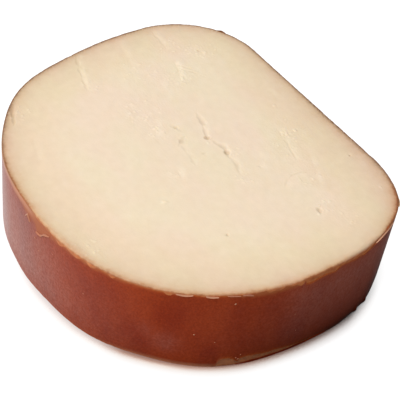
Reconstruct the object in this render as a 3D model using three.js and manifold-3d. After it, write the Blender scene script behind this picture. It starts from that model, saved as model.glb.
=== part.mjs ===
// A thick slab of smoked goat cheese, cut from a loaf with a D-shaped section.
//
// The slab lies on one cut face and shows the other. The loaf's flat side faces +Y and its dome
// faces -Y. The origin is under the middle of the slab, on the face that it rests on. Sizes are
// in millimetres, and +Z is up.

import * as THREE from "three";
import { mergeVertices } from "three/addons/utils/BufferGeometryUtils.js";
import Module from "manifold-3d";

// The loaf's section
const WIDTH = 160; // across the flat side
const DEPTH = 134; // from the flat side to the crown of the dome
const LEFT_CORNER = 36; // radius from the flat side into the flank on -X
const RIGHT_CORNER = 42; // and into the flank on +X
const DOME_POWER = 2.5; // 2 is an ellipse, more gives squarer shoulders
const SECTION_STEP = 2.8; // facet length where the section is curved

// Where the loaf was pressed flatter while it was soft. Places along the section are measured
// from the end of the flat side on -X, round the dome and back to the flat side.
const PRESSED_FLATS = [
  { along: 100, deep: 1.4 },
  { along: 153, deep: 2 },
  { along: 353, deep: 3 },
];
const FLAT_REACH = 22; // a flat fades out over this distance

// The slab
const THICKNESS = 38; // between the two cut faces
const EDGE_BEVEL = 0.8; // where the edges of the cut faces have worn soft

// Cracks in the upper face: their course in plan, and their width and depth at the middle
const CRACKS = [
  {
    course: [[-16.3, 17.7], [-9.9, 15.9], [-2.2, 14.2], [2.3, 14.9], [9.3, 16.4], [20.4, 14.4]],
    wide: 2.4,
    deep: 2.6,
  },
  { course: [[-13.5, 5.7], [-4.8, 2], [4.2, 0.8], [7.6, 2.3]], wide: 1.4, deep: 0.9 },
  { course: [[-73, -7.5], [-68.8, -8.5], [-60, -10], [-51.2, -12.5]], wide: 2, deep: 1.4 },
  { course: [[-55, -47], [-49.5, -48.6], [-42.8, -50.6]], wide: 2.6, deep: 1.2 },
];
const CRACK_STEPS = 18;
const CRACK_TIP = 0.02; // how open a crack still is where it runs out, as a share of its middle

// Pits in the upper face, as flattened hollows
const PITS = [
  { at: [-2.2, 14.2], radius: 1.5, deep: 2 },
  { at: [9.3, 16.4], radius: 2, deep: 2.4 },
  { at: [51.8, 28.1], radius: 1.3, deep: 1.1 },
];

// Where the brown coat is torn off the side: from and to along the section, how tall the bare
// strip is, and at which cut face. A tear is as deep as the coat is thick.
const COAT = 0.5;
const TEARS = [
  { from: 194, to: 220, tall: 6, face: "upper" },
  { from: 268, to: 302, tall: 1.8, face: "upper" },
  { from: 312, to: 360, tall: 3.2, face: "upper" },
  { from: 283, to: 330, tall: 5.5, face: "lower" },
];
const TEAR_TIP = 0.2; // height of a bare strip where it runs out
const TEAR_WAVES = 3; // the torn edge dips this often
const TEAR_WAVE = 0.2; // by this share of its height

const CLEAR = 1; // how far a cutter stands out of the face that it cuts
const SAME_POINT = 1e-4; // corners closer than this are one

const wasm = await Module();
wasm.setup();

// A quarter of the dome, as a superellipse between a flank and the crown.
class DomeQuarter extends THREE.Curve {
  constructor(side, spring) {
    super();
    this.side = side;
    this.spring = spring;
  }

  getPoint(t, target = new THREE.Vector2()) {
    const angle = (this.side < 0 ? t : 1 - t) * (Math.PI / 2);
    const across = Math.abs(Math.cos(angle)) ** (2 / DOME_POWER);
    const down = Math.abs(Math.sin(angle)) ** (2 / DOME_POWER);
    const rise = this.spring + DEPTH / 2;
    return target.set((this.side * across * WIDTH) / 2, this.spring - rise * down);
  }
}

// A round corner beside the flat side, a quarter turn on from an angle.
function corner(x, radius, start) {
  return new THREE.EllipseCurve(x, DEPTH / 2 - radius, radius, radius, start, start + Math.PI / 2);
}

// The unpressed section: corner, dome, corner and flat side, anticlockwise from above.
function drawnSection() {
  const flat = DEPTH / 2;
  const left = LEFT_CORNER - WIDTH / 2;
  const right = WIDTH / 2 - RIGHT_CORNER;
  const section = new THREE.CurvePath();
  section.add(corner(left, LEFT_CORNER, Math.PI / 2));
  section.add(new DomeQuarter(-1, flat - LEFT_CORNER));
  section.add(new DomeQuarter(1, flat - RIGHT_CORNER));
  section.add(corner(right, RIGHT_CORNER, 0));
  section.add(new THREE.LineCurve(new THREE.Vector2(right, flat), new THREE.Vector2(left, flat)));
  return section;
}

const section = drawnSection();
const girth = section.getLength();

// How far the section is pressed in at a place along it.
function pressedIn(along) {
  let deep = 0;
  for (const flat of PRESSED_FLATS) {
    const apart = THREE.MathUtils.euclideanModulo(along - flat.along + girth / 2, girth) - girth / 2;
    deep += flat.deep * Math.exp(-((apart / FLAT_REACH) ** 2));
  }
  return deep;
}

// The section's point and outward direction at a place along it, before it is centred.
function pressedPoint(along) {
  const point = section.getPoint(along / girth);
  const tangent = section.getTangent(along / girth);
  const outward = new THREE.Vector2(tangent.y, -tangent.x);
  return { point: point.addScaledVector(outward, -pressedIn(along)), outward };
}

// Evenly spaced places on each curve of the section. The flat side needs none between its ends.
function placesOnSection() {
  const places = [];
  let start = 0;
  for (const curve of section.curves) {
    const length = curve.getLength();
    const steps = curve.isLineCurve ? 1 : Math.round(length / SECTION_STEP);
    for (let step = 0; step < steps; step++) {
      places.push(start + (length * step) / steps);
    }
    start += length;
  }
  return places;
}

const places = placesOnSection();
const pressedBox = new THREE.Box2().setFromPoints(places.map((along) => pressedPoint(along).point));
const middle = pressedBox.getCenter(new THREE.Vector2());

// The section as it is on the slab, centred on the origin.
function sectionAt(along) {
  const { point, outward } = pressedPoint(along);
  return { point: point.sub(middle), outward };
}

// A three.js geometry as a solid that can be cut.
function solidOf(geometry) {
  const bare = geometry.clone().deleteAttribute("normal").deleteAttribute("uv");
  const merged = mergeVertices(bare, SAME_POINT);
  const vertProperties = new Float32Array(merged.attributes.position.array);
  const triVerts = new Uint32Array(merged.index.array);
  return new wasm.Manifold(new wasm.Mesh({ numProp: 3, vertProperties, triVerts }));
}

// A closed solid through rings of corners, each ring anticlockwise as seen from the next one.
function loft(rings) {
  const sides = rings[0].length;
  const index = [];
  for (let ring = 0; ring + 1 < rings.length; ring++) {
    for (let side = 0; side < sides; side++) {
      const a = ring * sides + side;
      const b = ring * sides + ((side + 1) % sides);
      index.push(a, b, b + sides, a, b + sides, a + sides);
    }
  }
  const last = (rings.length - 1) * sides;
  for (let side = 1; side + 1 < sides; side++) {
    index.push(0, side + 1, side);
    index.push(last, last + side, last + side + 1);
  }
  return new THREE.BufferGeometry().setFromPoints(rings.flat()).setIndex(index);
}

// A crack is a V-shaped groove that narrows and runs out at both ends.
function crackCutter({ course, wide, deep }) {
  const curve = new THREE.SplineCurve(course.map(([x, y]) => new THREE.Vector2(x, y)));
  const rings = [];
  for (let step = 0; step <= CRACK_STEPS; step++) {
    const share = step / CRACK_STEPS;
    const open = Math.sqrt(Math.sin(Math.PI * share)) + CRACK_TIP;
    const depth = deep * open;
    const { x, y } = curve.getPointAt(share);
    const tangent = curve.getTangentAt(share);
    const halfWidth = ((wide * open) / 2) * ((depth + CLEAR) / depth);
    const side = new THREE.Vector2(-tangent.y, tangent.x).multiplyScalar(halfWidth);
    rings.push([
      new THREE.Vector3(x, y, THICKNESS - depth),
      new THREE.Vector3(x + side.x, y + side.y, THICKNESS + CLEAR),
      new THREE.Vector3(x - side.x, y - side.y, THICKNESS + CLEAR),
    ]);
  }
  return solidOf(loft(rings));
}

function pitCutter({ at: [x, y], radius, deep }) {
  const hollow = new THREE.IcosahedronGeometry(1, 1);
  return solidOf(hollow.scale(radius, radius, deep).translate(x, y, THICKNESS));
}

// A tear takes the coat off the side, from a cut face's edge to a wavy torn edge. The cutter's
// facets meet halfway along the slab's, so that no two edges nearly touch.
function tearCutter({ from, to, tall, face }) {
  const halfway = places.map((along) => along + SECTION_STEP / 2);
  const inside = halfway.filter((along) => along > from && along < to);
  const rings = [from, ...inside, to].map((along) => {
    const share = (along - from) / (to - from);
    const wave = 1 + TEAR_WAVE * Math.sin(2 * Math.PI * TEAR_WAVES * share);
    const bare = tall * wave * Math.sqrt(Math.sin(Math.PI * share)) + TEAR_TIP;
    const [low, high] = face === "upper" ? [THICKNESS - bare, THICKNESS + CLEAR] : [-CLEAR, bare];
    const { point, outward } = sectionAt(along);
    const inner = point.clone().addScaledVector(outward, -COAT);
    const outer = point.clone().addScaledVector(outward, CLEAR);
    return [
      new THREE.Vector3(inner.x, inner.y, low),
      new THREE.Vector3(inner.x, inner.y, high),
      new THREE.Vector3(outer.x, outer.y, high),
      new THREE.Vector3(outer.x, outer.y, low),
    ];
  });
  return solidOf(loft(rings));
}

// The slab before it cracked and its coat tore.
function wholeSlab() {
  const shape = new THREE.Shape(places.map((along) => sectionAt(along).point));
  const slab = new THREE.ExtrudeGeometry(shape, {
    depth: THICKNESS - 2 * EDGE_BEVEL,
    bevelThickness: EDGE_BEVEL,
    bevelSize: EDGE_BEVEL,
    bevelOffset: -EDGE_BEVEL,
    bevelSegments: 1,
  });
  return solidOf(slab.translate(0, 0, EDGE_BEVEL));
}

function cheeseGeometry() {
  let slab = wholeSlab();
  const cutters = [...CRACKS.map(crackCutter), ...PITS.map(pitCutter), ...TEARS.map(tearCutter)];
  for (const cutter of cutters) {
    slab = slab.subtract(cutter);
  }
  const { vertProperties, triVerts } = slab.getMesh();
  const geometry = new THREE.BufferGeometry();
  geometry.setAttribute("position", new THREE.BufferAttribute(vertProperties, 3));
  geometry.setIndex(new THREE.BufferAttribute(triVerts, 1));
  geometry.computeVertexNormals();
  return geometry;
}

const paste = new THREE.MeshStandardMaterial({ color: 0xf1dfc3, roughness: 0.55, metalness: 0 });
const cheese = new THREE.Mesh(cheeseGeometry(), paste);
cheese.name = "cheese";

const part = new THREE.Group();
part.add(cheese);

export default part;
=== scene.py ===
# %% [markdown]
# # A slab of smoked goat cheese
#
# The real thing is a thick slab, cut across a loaf with a D-shaped section. It lies on one cut
# face and shows the other: a pale, nearly flat face with a few cracks. Round the side runs smoked
# rind under a thin, glossy brown coat, which has torn off in a few places.
#
# The CAD model is loaded first, as a fixed frame. It says where the slab is and how large. The
# looks are then built in the same place, in metres, with the slab standing on z = 0.

import math

import bmesh
import bpy
import numpy as np
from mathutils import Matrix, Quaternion, Vector, kdtree, noise


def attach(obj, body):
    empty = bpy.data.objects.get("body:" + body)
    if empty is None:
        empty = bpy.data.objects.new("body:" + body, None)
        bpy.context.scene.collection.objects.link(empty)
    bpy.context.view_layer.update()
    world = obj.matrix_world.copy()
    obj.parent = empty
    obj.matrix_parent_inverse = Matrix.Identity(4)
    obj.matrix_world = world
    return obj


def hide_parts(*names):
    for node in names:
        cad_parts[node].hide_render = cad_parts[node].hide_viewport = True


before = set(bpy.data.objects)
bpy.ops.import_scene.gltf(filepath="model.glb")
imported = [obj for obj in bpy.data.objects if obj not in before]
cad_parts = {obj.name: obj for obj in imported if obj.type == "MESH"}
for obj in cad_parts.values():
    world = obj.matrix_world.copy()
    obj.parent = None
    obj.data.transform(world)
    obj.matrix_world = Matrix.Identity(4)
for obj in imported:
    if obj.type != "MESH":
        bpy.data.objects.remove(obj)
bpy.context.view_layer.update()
print("CAD nodes:", len(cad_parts))

# %% [markdown]
# ## The loaf's outline
#
# Every height of the slab has nearly the same outline: a flat side, two round corners and a dome.
# The dome is a superellipse, which has squarer shoulders than an ellipse. The loaf was pressed
# flatter in three places while it was soft, and bulges a little beside the last of them. A formula
# gives this shape more closely than pulling a circle by hand would, and it can be asked for any
# point, so the body and the coat share it. Towards the foot the side leans in or out a little.

# %% Outline of the loaf
MM = 0.001
WIDTH = 160.0  # mm across the flat side, before pressing
DEPTH = 134.0  # mm from the flat side to the crown of the dome
THICKNESS = 38.0  # mm between the cut faces
CORNERS = {-1: 36.0, 1: 42.0}  # mm radius beside the flat side, on -X and on +X
DOME_POWER = 2.5  # 2 is an ellipse
CURVE_STEPS = 900
# mm along the outline, mm pressed in, and mm over which that fades out
PRESSED = [(100, 1.4, 22), (153, 2.0, 22), (353, 3.0, 22), (382, -0.7, 12)]


def half_outline(side):
    """One corner and half the dome, from the flat side to the crown, in mm."""
    quarter = np.linspace(0, math.pi / 2, CURVE_STEPS)
    radius = CORNERS[side]
    spring = DEPTH / 2 - radius
    corner_x = WIDTH / 2 - radius + radius * np.sin(quarter)
    corner_y = spring + radius * np.cos(quarter)
    dome_x = WIDTH / 2 * np.cos(quarter) ** (2 / DOME_POWER)
    dome_y = spring - (spring + DEPTH / 2) * np.sin(quarter) ** (2 / DOME_POWER)
    return np.column_stack([side * np.r_[corner_x, dome_x[1:]], np.r_[corner_y, dome_y[1:]]])


def passed_along(course):
    """The length of a course up to each of its points."""
    return np.r_[0, np.cumsum(np.linalg.norm(np.diff(course, axis=0), axis=1))]


def bell(distance, reach):
    """1 at no distance, fading out over a reach."""
    return np.exp(-((distance / reach) ** 2))


drawn = np.vstack([half_outline(-1), half_outline(1)[-2::-1]])
drawn = np.vstack([drawn, drawn[:1]])
drawn_along = passed_along(drawn)
girth = drawn_along[-1]
tangent = np.gradient(drawn, drawn_along, axis=0)
outward = np.column_stack([tangent[:, 1], -tangent[:, 0]])
outward /= np.linalg.norm(outward, axis=1)[:, None]

pressed = drawn.copy()
for place, deep, reach in PRESSED:
    apart = (drawn_along - place + girth / 2) % girth - girth / 2
    pressed -= outward * (deep * bell(apart, reach))[:, None]
pressed -= (pressed.min(0) + pressed.max(0)) / 2
print(f"outline: {np.ptp(pressed, axis=0).round(1)} mm, {girth:.1f} mm round")

# %% Points and small irregularities along the outline
# mm along the outline, mm that the foot stands back there, or out if negative, and mm of fading out
LEANS = [(203, -0.8, 10), (260, 1.1, 14), (294, -1.2, 16), (341, -0.6, 8), (360, -0.1, 6), (375, 0.9, 8)]


def leaning(along, height):
    """How far the side stands back, in mm, which is most at the foot."""
    back = sum(most * bell(along - place, reach) for place, most, reach in LEANS)
    return back * (1 - height / THICKNESS)


def ring_points(along, height, inset):
    """Points of the outline in metres, some mm along it, at a height and moved in by an inset."""
    along = np.asarray(along) % girth
    inset = inset + leaning(along, height)
    sides = [np.interp(along, drawn_along, pressed[:, axis]) for axis in (0, 1)]
    facing = [np.interp(along, drawn_along, outward[:, axis]) for axis in (0, 1)]
    x, y = (side - inset * face for side, face in zip(sides, facing))
    return MM * np.column_stack([x, y, np.broadcast_to(height, along.shape)])


def wavy(points, grain, seed):
    """A smooth random value from -1 to 1 at each point in metres, with bumps of that grain in mm."""
    return np.array([noise.noise((x, y, z + seed)) for x, y, z in points / (grain * MM)])


def wander(along, grain, seed):
    """The same along the outline, at one height."""
    return wavy(ring_points(along, THICKNESS, 0.0), grain, seed)


def follow(table, along, column=1):
    """What a table of places along the outline gives at each place, from one of its columns."""
    rows = np.array(table)
    return np.interp(along, rows[:, 0], rows[:, column])


# %% [markdown]
# ## Rings
#
# The body and the coat both start as a circle whose vertices are moved onto the outline. From
# there the mesh grows by extruding the last ring. Each vertex remembers how far along the outline
# it is, and an extruded vertex inherits that, so a new ring can always be laid in its place.

# %% Read and write vertices


def read_points(mesh):
    """The vertices of a mesh as rows of x, y and z in metres."""
    flat = np.empty(3 * len(mesh.vertices))
    mesh.vertices.foreach_get("co", flat)
    return flat.reshape(-1, 3)


def write_points(mesh, points):
    mesh.vertices.foreach_set("co", points.ravel())
    mesh.update()


def read_values(mesh, name):
    values = np.empty(len(mesh.vertices))
    mesh.attributes[name].data.foreach_get("value", values)
    return values


def write_values(mesh, name, values):
    attribute = mesh.attributes.get(name) or mesh.attributes.new(name, "FLOAT", "POINT")
    attribute.data.foreach_set("value", np.asarray(values, np.float32))


def select_vertices(piece, chosen):
    """Leaves only these vertices selected, with the piece alone and active."""
    bpy.ops.object.select_all(action="DESELECT")
    piece.select_set(True)
    bpy.context.view_layer.objects.active = piece
    bpy.ops.object.mode_set(mode="EDIT")
    bpy.ops.mesh.select_mode(type="VERT")
    bpy.ops.mesh.select_all(action="DESELECT")
    bpy.ops.object.mode_set(mode="OBJECT")
    piece.data.vertices.foreach_set("select", chosen)


# %% Start and add rings


def start_ring(name, count, place):
    """Adds a circle and moves its vertices to where place puts them along the outline."""
    bpy.ops.object.select_all(action="DESELECT")
    bpy.ops.mesh.primitive_circle_add(vertices=count, radius=WIDTH / 2 * MM)
    piece = bpy.context.object
    piece.name = name
    piece.data.name = name
    along = np.arange(count) * girth / count
    write_values(piece.data, "along", along)
    write_points(piece.data, place(along))
    return piece


def add_ring(piece, place):
    """Extrudes the selected ring and moves the new one to where place puts it."""
    bpy.ops.object.mode_set(mode="EDIT")
    bpy.ops.mesh.extrude_edges_move()
    bpy.ops.object.mode_set(mode="OBJECT")
    chosen = np.empty(len(piece.data.vertices), bool)
    piece.data.vertices.foreach_get("select", chosen)
    points = read_points(piece.data)
    points[chosen] = place(read_values(piece.data, "along")[chosen])
    write_points(piece.data, points)


# %% [markdown]
# ## The body
#
# The body is the cheese itself: the paste with its smoked rind, a quarter of a millimetre in from
# the outline to leave room for the coat. A knife leaves the edges of the cut faces nearly sharp,
# and handling rounds them a little, unevenly. Along the front the knife dragged some paste down
# over the rim. Rings give the lower edge, the wall and the upper edge.

# %% Body wall and edges
COAT = 0.25  # mm, thickness of the brown coat
EDGE_ROUND = 0.5  # mm, radius of the worn foot edge
UPPER_ROUND = 0.25  # mm, radius of the fresher upper edge
EDGE_TURNS = np.radians([0, 22, 45, 68, 90])  # where the rings lie round an edge
BODY_RING_POINTS = 600
WALL_ROWS = 6
FACE_INSETS = [4.0, 2.8, 2.0]  # mm, rings of the cut face next to its edge
KNIFE_WAVER = 0.12  # mm that the cut edge wanders in and out
WAVER_GRAIN = 3.5  # mm along the edge from one waver to the next
# mm along the outline, and mm that the knife dragged paste down over the upper edge
SMEARED = [(190, 0.0), (196, 0.4), (204, 0.6), (222, 0.9), (238, 0.6), (246, 0.5), (258, 0.5), (270, 0.5),
           (286, 0.7), (302, 0.8), (318, 0.7), (320.5, 0.3), (331, 0.3), (338, 0.8), (350, 1.6), (357, 1.3),
           (363, 0.5), (368, 0.0)]
SMEAR_GRAIN = 2.2  # mm along the edge from one tongue of dragged paste to the next
SMEAR_SWING = 0.3  # share by which the tongues are longer or shorter
SMEAR_ROUND = 0.9  # mm that dragged paste adds to the edge's radius for each mm that it reaches down
SMEAR_FULL = 0.5  # mm of dragged paste that bury the edge of the coat


def smeared(along):
    """How far dragged paste reaches down over the upper edge, in mm."""
    return follow(SMEARED, along) * (1 + SMEAR_SWING * wander(along, SMEAR_GRAIN, 90.0))


def wall_inset(along):
    """How far the body's wall stands in from the outline, in mm."""
    return COAT + KNIFE_WAVER * wander(along, WAVER_GRAIN, 1.0)


def face_ring(height, inset):
    return lambda along: ring_points(along, height, inset)


def wall_ring(height):
    return lambda along: ring_points(along, height, wall_inset(along))


def foot_edge_ring(turn):
    """A ring part of a quarter turn round the foot's edge, from the wall to the face."""

    def place(along):
        inset = wall_inset(along) + EDGE_ROUND * (1 - math.cos(turn))
        return ring_points(along, EDGE_ROUND * (1 - math.sin(turn)), inset)

    return place


def upper_edge_ring(turn):
    """The same round the upper edge, which is rounder and pushed out where paste covers it."""

    def place(along):
        bulge = COAT * np.clip(smeared(along) / SMEAR_FULL, 0, 1)
        radius = UPPER_ROUND + SMEAR_ROUND * smeared(along)
        inset = wall_inset(along) - bulge + radius * (1 - math.cos(turn))
        return ring_points(along, THICKNESS - radius * (1 - math.sin(turn)), inset)

    return place


# %% Rings of the body
body_rings = [face_ring(0.0, inset) for inset in FACE_INSETS]
body_rings += [foot_edge_ring(turn) for turn in EDGE_TURNS[::-1]]
body_rings += [wall_ring(height) for height in np.linspace(0, THICKNESS, WALL_ROWS + 1)[1:-1]]
body_rings += [upper_edge_ring(turn) for turn in EDGE_TURNS]
body_rings += [face_ring(THICKNESS, inset) for inset in reversed(FACE_INSETS)]
body = start_ring("cheese_slab", BODY_RING_POINTS, body_rings[0])
select_vertices(body, np.ones(BODY_RING_POINTS, bool))
for ring in body_rings[1:]:
    add_ring(body, ring)
print("body wall:", len(body.data.polygons), "faces in", len(body_rings), "rings")

# %% [markdown]
# ## The cut faces
#
# A cut face is flat but not featureless, so it needs vertices all over to carry relief. Filling
# the ring with one face would leave none, and closing it towards a middle point would crowd them
# there. Grid Fill spans the ring with even quads instead. Its four corners go where the outline
# turns most, which keeps the quads there from being squeezed flat.

# %% Fill the cut faces
GRID_CORNER = 25.0  # mm along the outline, in the round corner on -X


def fill_face(piece, chosen):
    """Fills the chosen ring with a grid of quads."""
    select_vertices(piece, chosen)
    ring = np.flatnonzero(chosen)
    nearest = ring[np.argmin(np.abs(read_values(piece.data, "along")[ring] - GRID_CORNER))]
    bpy.ops.object.mode_set(mode="EDIT")
    mesh = bmesh.from_edit_mesh(piece.data)
    mesh.verts.ensure_lookup_table()
    mesh.select_history.clear()
    mesh.select_history.add(mesh.verts[int(nearest)])
    bpy.ops.mesh.fill_grid(span=len(ring) // 4)
    bpy.ops.object.mode_set(mode="OBJECT")


for first in (0, BODY_RING_POINTS * (len(body_rings) - 1)):
    number = np.arange(len(body.data.vertices))
    fill_face(body, (number >= first) & (number < first + BODY_RING_POINTS))
print("body with cut faces:", len(body.data.polygons), "faces")

# %% [markdown]
# ## Cracks, pits and rough spots
#
# Firm goat cheese breaks a little as it is cut. Across the middle of the shown face runs a crack
# in three short stretches, with two small brown pits in it. Fainter ones lie beside it, and a few
# run in from the edge. Some spots are rough, where the knife dragged small crumbs along. A crack
# is a course over the face with a width, a depth and a raised lip on its left, in millimetres.
# The mesh is first subdivided near the sharper marks, because they are narrower than one quad. The
# softest cracks are wide and shallow, so the quads of the face carry them as they are.

# %% Cracks in the upper face
CRACKS = [
    (4.4, 0.24, 0.10, [(-17.4, 19.0), (-11.1, 17.4), (-6.7, 15.6), (-2.2, 13.9)]),
    (5.2, 0.30, 0.14, [(0.6, 15.2), (5.6, 16.2), (8.9, 15.8), (13.0, 14.8)]),
    (4.4, 0.20, 0.10, [(10.0, 16.0), (16.8, 14.8), (22.8, 12.8)]),
    (4.2, 0.16, 0.05, [(-15.4, 4.6), (-12.6, 6.0), (-9.0, 7.2)]),
    (4.8, 0.20, 0.05, [(-7.0, 6.8), (-4.6, 2.9), (-2.6, 0.6)]),
    (4.6, 0.15, 0.07, [(-5.0, 2.6), (2.0, 1.6), (10.2, 0.4)]),
    (3.8, 0.24, 0.22, [(-74.6, -6.0), (-70.0, -7.6), (-64.4, -9.7), (-60.0, -11.0)]),
    (2.8, 0.12, 0.21, [(-64.0, -9.4), (-57.8, -11.8), (-49.6, -14.0)]),
    (3.4, 0.40, 0.10, [(-54.6, -44.6), (-50.0, -48.2), (-42.2, -50.8)]),
    (2.4, 0.12, 0.20, [(-77.0, 33.2), (-71.0, 33.0), (-60.0, 32.0)]),
    (2.2, 0.06, 0.14, [(-76.0, 15.6), (-67.2, 13.6), (-56.0, 11.4)]),
    (1.6, 0.12, 0.06, [(-50.6, 28.4), (-44.0, 33.4), (-37.0, 38.2)]),
    (1.4, 0.12, 0.05, [(-47.8, 28.0), (-42.0, 32.4), (-36.0, 36.4)]),
    (1.6, 0.12, 0.06, [(-57.0, 41.0), (-49.0, 47.4)]),
    (2.4, 0.11, 0.17, [(6.0, 42.4), (16.0, 40.8), (27.4, 37.4)]),
    (2.0, 0.14, 0.10, [(34.8, 38.2), (32.2, 36.0), (32.0, 31.4), (33.6, 27.4), (36.6, 24.0)]),
    (2.6, 0.05, 0.08, [(-33.0, -48.2), (-24.4, -50.8), (-16.0, -53.8)]),
    (2.4, 0.04, 0.08, [(24.6, -60.8), (32.0, -59.6), (39.6, -58.0)]),
    (2.0, 0.08, 0.12, [(22.0, 45.2), (34.0, 41.0), (44.6, 34.8)]),
    (2.2, 0.06, 0.06, [(66.0, 2.0), (72.0, 1.2), (77.0, 0.6)]),
    (2.6, 0.26, 0.08, [(50.8, 31.0), (53.0, 28.6), (56.0, 26.0)]),
    (2.4, 0.06, 0.18, [(14.0, 26.6), (18.0, 25.4), (24.0, 22.6)]),
    (2.4, 0.06, 0.15, [(-22.0, 0.8), (-17.0, -1.4), (-11.0, -4.2)]),
    (2.2, 0.06, 0.15, [(6.4, -7.0), (11.0, -8.0), (16.0, -9.8)]),
    (2.4, 0.06, 0.18, [(-54.0, 30.4), (-46.0, 28.2), (-38.0, 24.6)]),
    (2.2, 0.06, 0.14, [(-42.0, 17.0), (-37.0, 15.4), (-31.0, 13.4)]),
    (1.4, 0.05, 0.03, [(-37.0, 32.0), (-27.0, 25.6), (-17.4, 19.2)]),
    (2.0, 0.03, 0.08, [(-30.0, 56.6), (-18.0, 55.0), (-6.0, 55.8)]),
]  # width, depth, height of the lip, and course
print(len(CRACKS), "cracks in the upper face")

# %% Pits, rough spots and flecks of the upper face
PITS = [
    (-2.2, 13.9, 1.5, 0.50),
    (8.9, 16.0, 1.7, 0.55),
    (-13.0, 6.0, 1.1, 0.28),
    (-4.8, 3.4, 1.6, 0.22),
    (53.0, 28.4, 1.5, 0.3),
    (-53.4, 44.4, 0.9, 0.2),
    (47.5, -10.6, 0.55, 0.5),
    (33.2, 59.4, 0.55, 0.35),
    (22.2, 22.6, 0.6, 0.2),
    (5.6, 7.4, 1.0, 0.12),
]  # x, y, radius and depth
ROUGH_SPOTS = [
    (-54.4, 45.9, 7.0, 20),
    (-40.0, 24.8, 6.0, 16),
    (-14.4, -1.9, 5.0, 18),
    (-25.6, -4.1, 4.0, 10),
    (-49.0, -46.0, 5.0, 14),
    (25.0, 13.5, 4.0, 9),
    (9.0, 19.0, 3.0, 6),
    (36.0, 36.0, 5.0, 8),
    (52.5, 33.0, 4.0, 9),
    (11.4, -9.8, 3.0, 6),
    (13.0, 41.0, 7.0, 12),
    (31.0, -58.0, 6.0, 9),
    (-52.0, 12.0, 9.0, 12),
    (-31.0, 2.0, 8.0, 12),
    (-63.0, 33.0, 6.0, 10),
    (8.0, 47.0, 6.0, 8),
    (22.0, 39.0, 5.0, 7),
    (61.0, 36.0, 5.0, 6),
    (-52.0, -12.5, 4.0, 8),
]  # x, y, radius, and how many crumbs
FLECKS = [(0.9, 12.6, 0.8), (54.7, 26.4, 0.8), (-49.4, -46.4, 0.9), (53.8, 58.0, 0.7),
          (22.5, -21.8, 1.3), (-51.6, 46.0, 1.2), (-7.0, 51.0, 1.0)]  # x, y, radius
print(len(PITS), "pits,", len(ROUGH_SPOTS), "rough spots and", len(FLECKS), "flecks")

# %% Marks of the lower face, and the crumbs of the rough spots
FOOT_CRACKS = [
    (1.8, 0.40, 0.0, [(-30.0, 22.0), (-21.0, 19.0), (-12.0, 20.5)]),
    (1.6, 0.25, 0.0, [(60.0, -20.0), (52.0, -17.0), (43.0, -18.5)]),
]  # width, depth, height of the lip, and course
# x, y, radius and depth
FOOT_PITS = [(-21.0, 19.0, 1.3, 0.5), (14.0, -31.0, 0.8, 0.4), (36.0, 40.0, 0.6, 0.4)]
SPOT_CRUMB_RADII = (0.35, 0.8)  # mm, smallest and largest in a rough spot

rng = np.random.default_rng(14)
crumbs = list(FLECKS)
for x, y, radius, count in ROUGH_SPOTS:
    for _ in range(count):
        turn = rng.uniform(0, 2 * math.pi)
        out = radius * math.sqrt(rng.uniform())
        crumb_radius = rng.uniform(*SPOT_CRUMB_RADII)
        crumbs.append((x + out * math.cos(turn), y + out * math.sin(turn), crumb_radius))
print(len(FOOT_CRACKS), "cracks in the lower face, and", len(crumbs), "crumbs on the upper one")

# %% Distance from a course


def beside(course, points):
    """For each point, the share of the course passed, and the distance, positive on its left."""
    course = np.asarray(course)
    passed = passed_along(course)
    passed = passed / passed[-1]
    share = np.zeros(len(points))
    apart = np.full(len(points), np.inf)
    for k, (start, end) in enumerate(zip(course[:-1], course[1:])):
        way = end - start
        part = np.clip((points - start) @ way / (way @ way), 0, 1)
        off = points - start - part[:, None] * way
        distance = np.linalg.norm(off, axis=1)
        left = np.where(way[0] * off[:, 1] - way[1] * off[:, 0] < 0, -1, 1)
        nearer = distance < np.abs(apart)
        share[nearer] = (passed[k] + part * (passed[k + 1] - passed[k]))[nearer]
        apart[nearer] = (distance * left)[nearer]
    return share, apart


# %% Subdivide the faces near their marks
MARK_MARGIN = 1.4  # mm round a crack, and half of that round a pit or crumb
FAINT = 0.1  # mm, depth up to which a crack is so soft that the quads of the face carry it
FINE_CUTS = 3
FLUSH = 0.01  # mm, how near a vertex lies to a flat cut face


def near_marks(points, cracks, spots):
    """Which points lie on or close to a crack, pit or crumb."""
    near = np.zeros(len(points), bool)
    for wide, deep, _, course in cracks:
        if deep > FAINT:
            near |= np.abs(beside(course, points)[1]) < wide / 2 + MARK_MARGIN
    for x, y, radius, *_ in spots:
        near |= np.hypot(points[:, 0] - x, points[:, 1] - y) < radius + MARK_MARGIN / 2
    return near


def face_vertices(mesh):
    """The vertices of a mesh in mm, and which of them lie on the upper and on the lower cut face."""
    points = read_points(mesh) / MM
    return points, points[:, 2] > THICKNESS - FLUSH, points[:, 2] < FLUSH


mesh = body.data
points, on_top, on_foot = face_vertices(mesh)
chosen = on_top & near_marks(points[:, :2], CRACKS, PITS + crumbs)
chosen |= on_foot & near_marks(points[:, :2], FOOT_CRACKS, FOOT_PITS)
select_vertices(body, chosen)
bpy.ops.object.mode_set(mode="EDIT")
bpy.ops.mesh.subdivide(number_cuts=FINE_CUTS)
bpy.ops.object.mode_set(mode="OBJECT")
print("body after subdividing:", len(mesh.polygons), "faces")
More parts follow.
